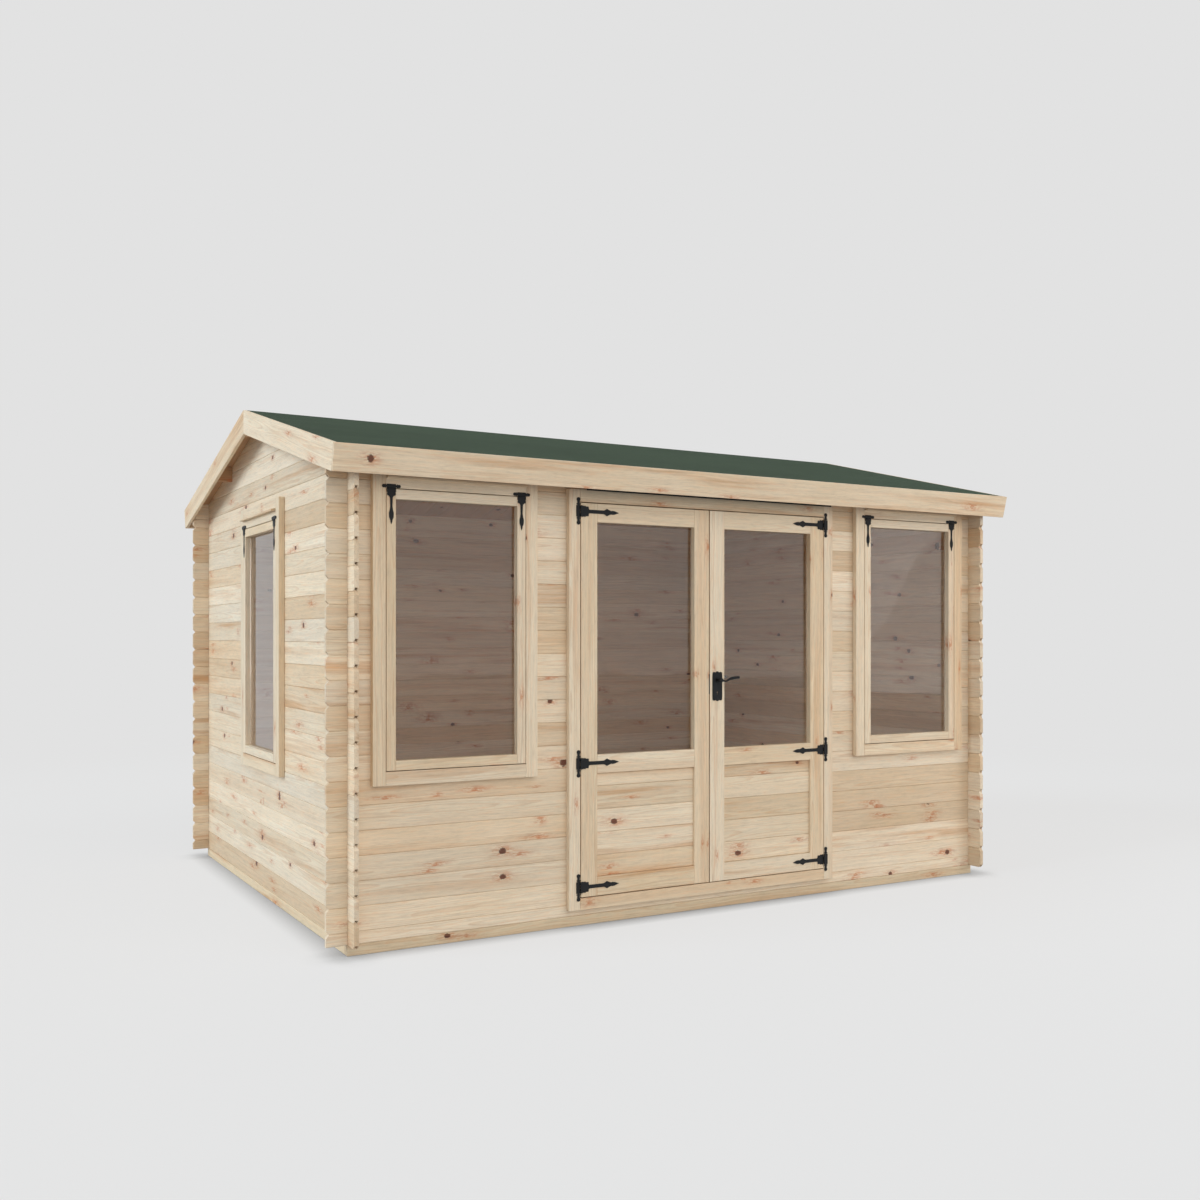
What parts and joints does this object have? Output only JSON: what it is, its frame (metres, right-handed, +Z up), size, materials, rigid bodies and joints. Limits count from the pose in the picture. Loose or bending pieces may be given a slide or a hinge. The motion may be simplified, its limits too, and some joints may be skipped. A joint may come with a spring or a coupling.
{
  "type": "log cabin",
  "caption": "Pine log cabin with interlocking corners, glazed double doors, tall windows and a felted gable roof.",
  "frame": {"origin": "centre of the plan, level with the underside of the bearers", "axes": "+X along the front wall towards the cabin's right as seen from outside the front, +Y from the front to the back, +Z up"},
  "size_m": [4.157, 3.285, 2.694],
  "materials": {
    "log_wood": "planed pine, satin",
    "joinery_wood": "planed pine, satin",
    "edge_wood": "planed pine, satin",
    "panel_wood": "planed pine, satin",
    "roof_wood": "planed spruce, matt",
    "floor_wood": "planed spruce, matt",
    "bearer_wood": "planed pine, untreated",
    "felt": "bituminous felt with green mineral grains, matt",
    "black_iron": "black powder coat, satin",
    "lock_steel": "brushed and blackened",
    "clear_glass": "clear"
  },
  "bodies": {
    "cabin": {"bearers": "bearer_wood", "floor_joists": "bearer_wood", "floor": "floor_wood", "front_wall_foot": "log_wood", "front_wall_left": "log_wood", "front_wall_right": "log_wood", "front_wall_head": "log_wood", "left_wall": "log_wood", "left_gable": "log_wood", "right_wall": "log_wood", "right_gable": "log_wood", "back_wall": "log_wood", "purlins": "roof_wood", "front_roof_boards": "roof_wood", "back_roof_boards": "roof_wood", "roof_felt": "felt", "front_fascia": "edge_wood", "back_fascia": "edge_wood", "left_bargeboards": "edge_wood", "right_bargeboards": "edge_wood", "front_left_window_frame": "joinery_wood", "front_left_window_sash": "joinery_wood", "front_left_window_glass": "clear_glass", "front_right_window_frame": "joinery_wood", "front_right_window_sash": "joinery_wood", "front_right_window_glass": "clear_glass", "side_window_frame": "joinery_wood", "side_window_sash": "joinery_wood", "side_window_glass": "clear_glass", "drip_strips": "joinery_wood", "window_hinges": "black_iron", "door_frame": "joinery_wood", "door_drip_rail": "black_iron", "door_hinge_plates": "black_iron"},
    "left_door": {"left_door_leaf": "joinery_wood", "left_door_boards": "panel_wood", "left_door_glass": "clear_glass", "left_door_straps": "black_iron"},
    "right_door": {"right_door_leaf": "joinery_wood", "right_door_boards": "panel_wood", "right_door_glass": "clear_glass", "right_door_straps": "black_iron", "handle_plates": "black_iron", "lock_forend": "lock_steel"},
    "lever": {"lever_handle": "black_iron"}
  },
  "joints": [
    {"name": "left_door_hinge", "type": "hinge", "parent": "cabin", "child": "left_door", "pos_m": [-0.778, -1.501, 1], "axis": [0, 0, -1], "range_deg": [0, 110]},
    {"name": "right_door_hinge", "type": "hinge", "parent": "cabin", "child": "right_door", "pos_m": [0.778, -1.501, 1], "axis": [0, 0, 1], "range_deg": [0, 110]},
    {"name": "lever_turn", "type": "hinge", "parent": "right_door", "child": "lever", "pos_m": [0.0495, -1.4945, 1.214], "axis": [0, 1, 0], "range_deg": [0, 35], "stiffness_Nm_per_rad": 0.6, "springref_deg": -20.05}
  ]
}
